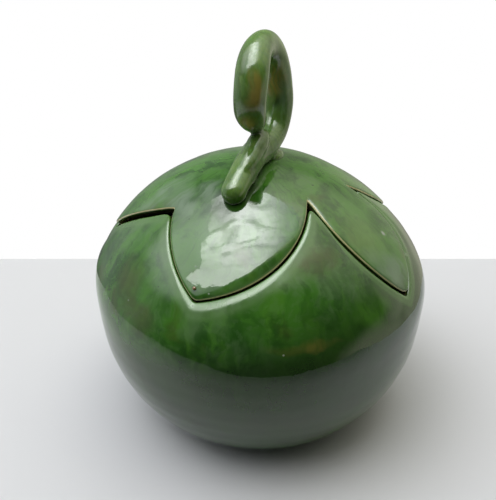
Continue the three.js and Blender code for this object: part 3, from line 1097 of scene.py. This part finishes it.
foot_down = 180 - math.degrees(math.atan2(FOOT_RADIUS, BELLY_HEIGHT - FOOT_EDGE))
BELLY_RINGS = 24
for step in range(BELLY_RINGS + 1):
    down = lerp(foot_down, SHOULDER, step / BELLY_RINGS)
    rings.append(lay_ring(pot_shape, outer_points(level_line(down))))

RIM_RINGS = 22
rim_back = beside_cut(1, roll_start(POT_ROLL))
shoulder_line = level_line(SHOULDER)
for step in range(RIM_RINGS - 1, 0, -1):
    share = step / RIM_RINGS
    sag = 1 - smooth_share(0, RIM_SAG_REACH, share)
    # the painted glow beside the rim highlight reaches a little onto the shoulder
    thin = POT_ROLL["thin"] * (1 - smooth_share(0, RIM_GLOW_REACH, share))
    line = between(rim_back, shoulder_line, share)
    rings.append(lay_ring(pot_shape, outer_points(line, sag), thin=thin))
rings += cut_rings(pot_shape, 1, POT_ROLL, POT_SEED)

INNER_RIM_RINGS = 9
inner_edge = beside_cut(1, INNER_ROUND)
for step in range(1, INNER_RIM_RINGS + 1):
    line = between(inner_edge, shoulder_line, step / INNER_RIM_RINGS)
    rings.append(lay_ring(pot_shape, inner_points(line), inside=1.0))
INNER_RINGS = 14
for step in range(1, INNER_RINGS):
    down = lerp(SHOULDER, 180, step / INNER_RINGS)
    rings.append(lay_ring(pot_shape, inner_points(level_line(down)), inside=1.0))
join_rings(pot_shape, rings)

pot = finish_piece("thrown_pot", pot_shape, pot_glaze, "pot", "pot_body")

# %% The bare foot
WIPED_HEIGHT = 1.4 * MM
pot.data.materials.append(clay)
for face in pot.data.polygons:
    if face.center.z < WIPED_HEIGHT and face.center.xy.length < FOOT_RADIUS * MM:
        face.material_index = 1
print("wiped faces", sum(face.material_index for face in pot.data.polygons))

# %% [markdown]
# ## The path of the stem
# A coil was rolled, pressed onto the dome from the front lobe to the crown, then curled up,
# over and down until its tip touched itself, where it was stuck with slip. The path comes
# before the lid, because painted shade darkens the lid all along the coil.

# %% The path of the stem
STEM_TURN = 23
ROOT_REACH = 40
ROOT_HALF = 6.3
TRUNK_HALF = 7
CURL_RADIUS = 17.8
CURL_BEHIND = 1
CURL_HALF_THICK = 7
BACK_HALF_WIDTH = 8.8
CREST_HALF_WIDTH = 5.9
FRONT_HALF_WIDTH = 8.2
TIP_HALF = 6.6
TIP_GAP = 0.5
RISE_TURN = -92
TIP_TURN = 260
STEM_PRESS = 1.2
CURL_GUIDES = 15
ROOT_SINK = 1.6
WANDER = ((-92, 1), (90, -0.8), (165, 1), (250, -1.2))
ALONG = heading(180 - STEM_TURN, 90)
ACROSS = ALONG.cross(CROWN)


def at_station(stations, place):
    """The values at a place, softly between the two stations round it."""
    passed = sum(station[0] < place for station in stations)
    following = min(max(1, passed), len(stations) - 1)
    first, second = stations[following - 1], stations[following]
    share = smooth_share(first[0], second[0], place)
    return [lerp(a, b, share) for a, b in zip(first[1:], second[1:])]


def stem_point(behind, height, aside=0.0):
    point = ALONG * behind + ACROSS * aside
    point.z = height
    return leaned(point)


def dome_height(behind):
    share = (abs(behind) / BELLY_RADIUS) ** DOME_FULLNESS
    return BELLY_HEIGHT + DOME_HEIGHT * (1 - share) ** (1 / DOME_FULLNESS)


def stem_guides():
    """The points that the middle of the coil passes through."""
    trunk_height = BELLY_HEIGHT + DOME_HEIGHT + TRUNK_HALF - STEM_PRESS
    curl_height = trunk_height + TRUNK_HALF + TIP_GAP + TIP_HALF + CURL_RADIUS
    guides = []
    for share in (1, 0.8, 0.6, 0.4, 0.2):
        behind = -ROOT_REACH * share
        half = lerp(TRUNK_HALF, ROOT_HALF, share)
        sunk = STEM_PRESS + ROOT_SINK * share * share
        guides.append(stem_point(behind, dome_height(behind) + half - sunk))
    for step in range(CURL_GUIDES):
        turn = lerp(RISE_TURN, TIP_TURN, step / (CURL_GUIDES - 1))
        radius = lerp(curl_height - trunk_height, CURL_RADIUS, smooth_share(RISE_TURN, 0, turn))
        behind = CURL_BEHIND + radius * math.cos(math.radians(turn))
        height = curl_height + radius * math.sin(math.radians(turn))
        guides.append(stem_point(behind, height, at_station(WANDER, turn)[0]))
    return guides


print("the path of the coil has", len(stem_guides()), "guides")

# %% A smooth path through the guides
PATH_POINTS = 90


def smooth_path(guides, pieces=12):
    """A smooth curve through all guides, as many close points."""
    path = []
    ends = [guides[0] * 2 - guides[1], *guides, guides[-1] * 2 - guides[-2]]
    for before, start, end, after in zip(ends, ends[1:], ends[2:], ends[3:]):
        for step in range(pieces):
            t = step / pieces
            bend = before * 2 - start * 5 + end * 4 - after
            twist = start * 3 - before - end * 3 + after
            path.append(start + (end - before) * (t / 2) + bend * (t * t / 2) + twist * (t**3 / 2))
    return path + [guides[-1]]


def evenly_spaced(path, count):
    """The same path as points at even distances, and its length."""
    lengths = [0.0]
    for start, end in zip(path, path[1:]):
        lengths.append(lengths[-1] + (end - start).length)
    points, index = [], 0
    for step in range(count + 1):
        target = lengths[-1] * step / count
        while index < len(path) - 2 and lengths[index + 1] < target:
            index += 1
        span = lengths[index + 1] - lengths[index]
        points.append(path[index].lerp(path[index + 1], (target - lengths[index]) / span))
    return points, lengths[-1]


stem_path, stem_length = evenly_spaced(smooth_path(stem_guides()), PATH_POINTS)
print("stem is", round(stem_length), "mm long")

# %% [markdown]
# ## The lid
# The lid is the same form inside the cut: rings that start as tiny stars round the crown and
# grow to the cut line, over its round edge and back underneath.

# %% The lid
LID_SEED = 2
LID_RIPPLE = 0.13
LID_RINGS = 26
UNDER_RINGS = 10
# painted shade beside the coil: its strength, the distance it is full to, its reach and how much its
# edge wanders, in millimetres
LID_COIL_SHADE, COIL_SHADE_HEART, COIL_SHADE_REACH, COIL_SHADE_WANDER = 0.8, 0.3, 4.5, 1.5
TRUNK_PATH = stem_path[: PATH_POINTS // 2]


def shade_beside_stem(point):
    """How much painted shade lies there beside the coil."""
    distance = min((point - middle).length for middle in TRUNK_PATH) - TRUNK_HALF
    wander = COIL_SHADE_WANDER * noise.noise(point / 4)
    return LID_COIL_SHADE * (1 - smooth_share(COIL_SHADE_HEART, COIL_SHADE_REACH, distance + wander))


def lid_layer(shape, back, depth, count, **values):
    """Star-shaped rings at one depth, from the crown outwards."""
    crown_line = [CROWN] * len(CUT_LINE)
    edge = beside_cut(-1, back)
    layer = []
    for step in range(1, count):
        line = between(crown_line, edge, step / count)
        points = skin(line, [depth] * len(line), LID_SEED, depth == 0, LID_RIPPLE)
        # painted shade on the lid along the coil
        if depth == 0:
            values["coil_shade"] = [shade_beside_stem(point) for point in points]
        layer.append(lay_ring(shape, points, **values))
    return layer


lid_shape = new_shape()
rings = lid_layer(lid_shape, roll_start(LID_ROLL), 0, LID_RINGS)
rings += cut_rings(lid_shape, -1, LID_ROLL, LID_SEED)
rings += reversed(lid_layer(lid_shape, INNER_ROUND, WALL, UNDER_RINGS, inside=1.0))
join_rings(lid_shape, rings)
finish_piece("star_lid", lid_shape, lid_glaze, "lid", "calyx_lid")

# %% [markdown]
# ## The stem
# The section of the coil changes along the way, so it is built from rings again: each is a
# flattened circle square to the path. Near the dome the coil flares into a thin skirt, where
# fingers pressed it on, and wads of slip sit under the tip and beside the trunk. Remeshing
# with small voxels then makes one skin of it all, as wet clay would.

# %% The section of the coil
STEM_SIDES = 40
STEM_SEED = 3
SKIRT_END = 0.4
SKIRT_HEIGHT = 2.6
SKIRT_REACH = 1.5
PRESSED_MEAN, PRESSED_SPREAD, FINGER_SIZE = 0.7, 1.2, 5
SECTIONS = (
    # share of the length, half width, half thickness
    (0, ROOT_HALF - 0.2, ROOT_HALF - 0.4),
    (0.22, TRUNK_HALF, TRUNK_HALF),
    (0.42, BACK_HALF_WIDTH, CURL_HALF_THICK),
    (0.64, CREST_HALF_WIDTH, CURL_HALF_THICK),
    (0.8, FRONT_HALF_WIDTH, CURL_HALF_THICK),
    (0.9, FRONT_HALF_WIDTH, CURL_HALF_THICK),
    (1, TIP_HALF, TIP_HALF),
)


def above_dome(point):
    """How high a point is above the surface of the lid."""
    upright = point + CROWN * math.tan(math.radians(LEAN)) * point.x
    direction = (upright - HEART).normalized()
    return (upright - form_point(direction)).dot(direction)


def path_spot(place):
    """The middle of the coil and its heading, at a share of its length."""
    spot_number = place * (len(stem_path) - 1)
    index = min(int(spot_number), len(stem_path) - 2)
    middle = stem_path[index].lerp(stem_path[index + 1], spot_number - index)
    return middle, (stem_path[index + 1] - stem_path[index]).normalized()


def stem_ring(place, fullness):
    """The outline of the coil at a share of its length."""
    middle, ahead = path_spot(place)
    root_middle = path_spot(max(place, ROOT_HALF / stem_length))[0]
    up = ahead.cross(ACROSS)
    half_width, half_thick = at_station(SECTIONS, place)
    points = []
    for side in range(STEM_SIDES):
        angle = 2 * math.pi * side / STEM_SIDES
        out = ACROSS * (half_width * math.cos(angle)) + up * (half_thick * math.sin(angle))
        point = middle + out * fullness
        point += out.normalized() * uneven(point, STEM_SEED) * fullness
        skirt = 1 - smooth_share(0, SKIRT_HEIGHT, above_dome(point))
        if place < SKIRT_END and skirt > 0:
            away = (point - root_middle) * Vector((1, 1, 0))
            pressed = PRESSED_MEAN + PRESSED_SPREAD * noise.noise(point / FINGER_SIZE)
            point += away.normalized() * SKIRT_REACH * skirt * skirt * pressed
        points.append(point)
    return points


print("the coil is", [2 * round(half, 1) for half in SECTIONS[-1][1:]], "mm across at its tip")


# %% The coil and its slip
STEM_RINGS = 110
END_STOPS = (0.03, 0.15, 0.35, 0.6, 0.82)
SLIP_WADS = (
    # place, half sizes, lengthwise heading
    ((-2.4, -10.5, 160), (5.4, 11.5, 5.4), (0.39, 0.92, 0.4)),
    ((-4.7, -16, 157.2), (5.2, 14, 5), (0.39, 0.92, 0.37)),
    ((6.6, 3.5, 148), (5, 7, 4), (0.39, 0.92, 0)),
)


def lay_pellet(shape, half_sizes, turned, place):
    """A pellet of clay: a ball pressed to its sizes, turned and laid in its place."""
    ball = bmesh.ops.create_icosphere(shape, subdivisions=3, radius=1)["verts"]
    bmesh.ops.scale(shape, vec=half_sizes, verts=ball)
    bmesh.ops.rotate(shape, cent=(0, 0, 0), matrix=turned.to_matrix(), verts=ball)
    bmesh.ops.translate(shape, vec=place, verts=ball)


root_share = ROOT_HALF / stem_length
tip_share = TIP_HALF / stem_length
round_ends = [(stop, math.sqrt(1 - (1 - stop) ** 2)) for stop in END_STOPS]
stations = [(stop * root_share, fullness) for stop, fullness in round_ends]
stations += [(lerp(root_share, 1 - tip_share, step / STEM_RINGS), 1) for step in range(STEM_RINGS + 1)]
stations += [(1 - stop * tip_share, fullness) for stop, fullness in reversed(round_ends)]

coil_shape = new_shape()
join_rings(coil_shape, [lay_ring(coil_shape, stem_ring(*station)) for station in stations])
for place, half_sizes, lengthwise in SLIP_WADS:
    lying = Vector((0, 1, 0)).rotation_difference(Vector(lengthwise))
    lay_pellet(coil_shape, half_sizes, lying, place)
print("coil of", len(stations), "rings and", len(SLIP_WADS), "wads of slip")

# %% One skin
VOXEL = 0.6
SMOOTHINGS = 26
# painted shade on the coil where it meets the lid
STEM_COIL_SHADE, STEM_COIL_SHADE_HEIGHTS = 0.7, (-0.2, 1.3)

resize(coil_shape, MM)
rough_coil = add_object("rough_coil", coil_shape, stem_glaze)
welding = rough_coil.modifiers.new("welded", "REMESH")
welding.mode = "VOXEL"
welding.voxel_size = VOXEL * MM
wet_hand = rough_coil.modifiers.new("wet_hand", "SMOOTH")
wet_hand.iterations = SMOOTHINGS
ready = rough_coil.evaluated_get(bpy.context.evaluated_depsgraph_get())
stem_shape = new_shape()
stem_shape.from_mesh(ready.to_mesh())
bpy.data.objects.remove(rough_coil)

# painted shade on the foot of the coil
coil_shade = stem_shape.verts.layers.float["coil_shade"]
resize(stem_shape, 1 / MM)
for vertex in stem_shape.verts:
    vertex[coil_shade] = STEM_COIL_SHADE * (1 - smooth_share(*STEM_COIL_SHADE_HEIGHTS, above_dome(vertex.co)))
finish_piece("curled_stem", stem_shape, stem_glaze, "lid", "stem_handle", levels=0)

# %% [markdown]
# ## A pimple in the glaze
# On the front lobe a bubble in the glaze healed over as a small pinkish pimple, just above the
# tip. It is a separate drop that sits half sunk in the lid.

# %% The pimple
PIMPLE_PLACE = Vector((-31, -67, 114.2))
PIMPLE_HALVES = (0.85, 0.85, 0.595)
PIMPLE_PINK = (0.34, 0.17, 0.11)

pimple_glaze = new_material("pimple_glaze", roughness=0.08)
drop = pimple_glaze.node_tree
blotch = cloud(drop, own_place(drop), 0.0009, 0.4, 0.6)
shade(pimple_glaze, base_color=laid_over(drop, PIMPLE_PINK, LEAF_GREEN, blotch, 0.6))

pimple_shape = new_shape()
lean_over = CROWN.rotation_difference((PIMPLE_PLACE - HEART).normalized())
lay_pellet(pimple_shape, PIMPLE_HALVES, lean_over, PIMPLE_PLACE)
finish_piece("glaze_pimple", pimple_shape, pimple_glaze, "lid", None, levels=0)
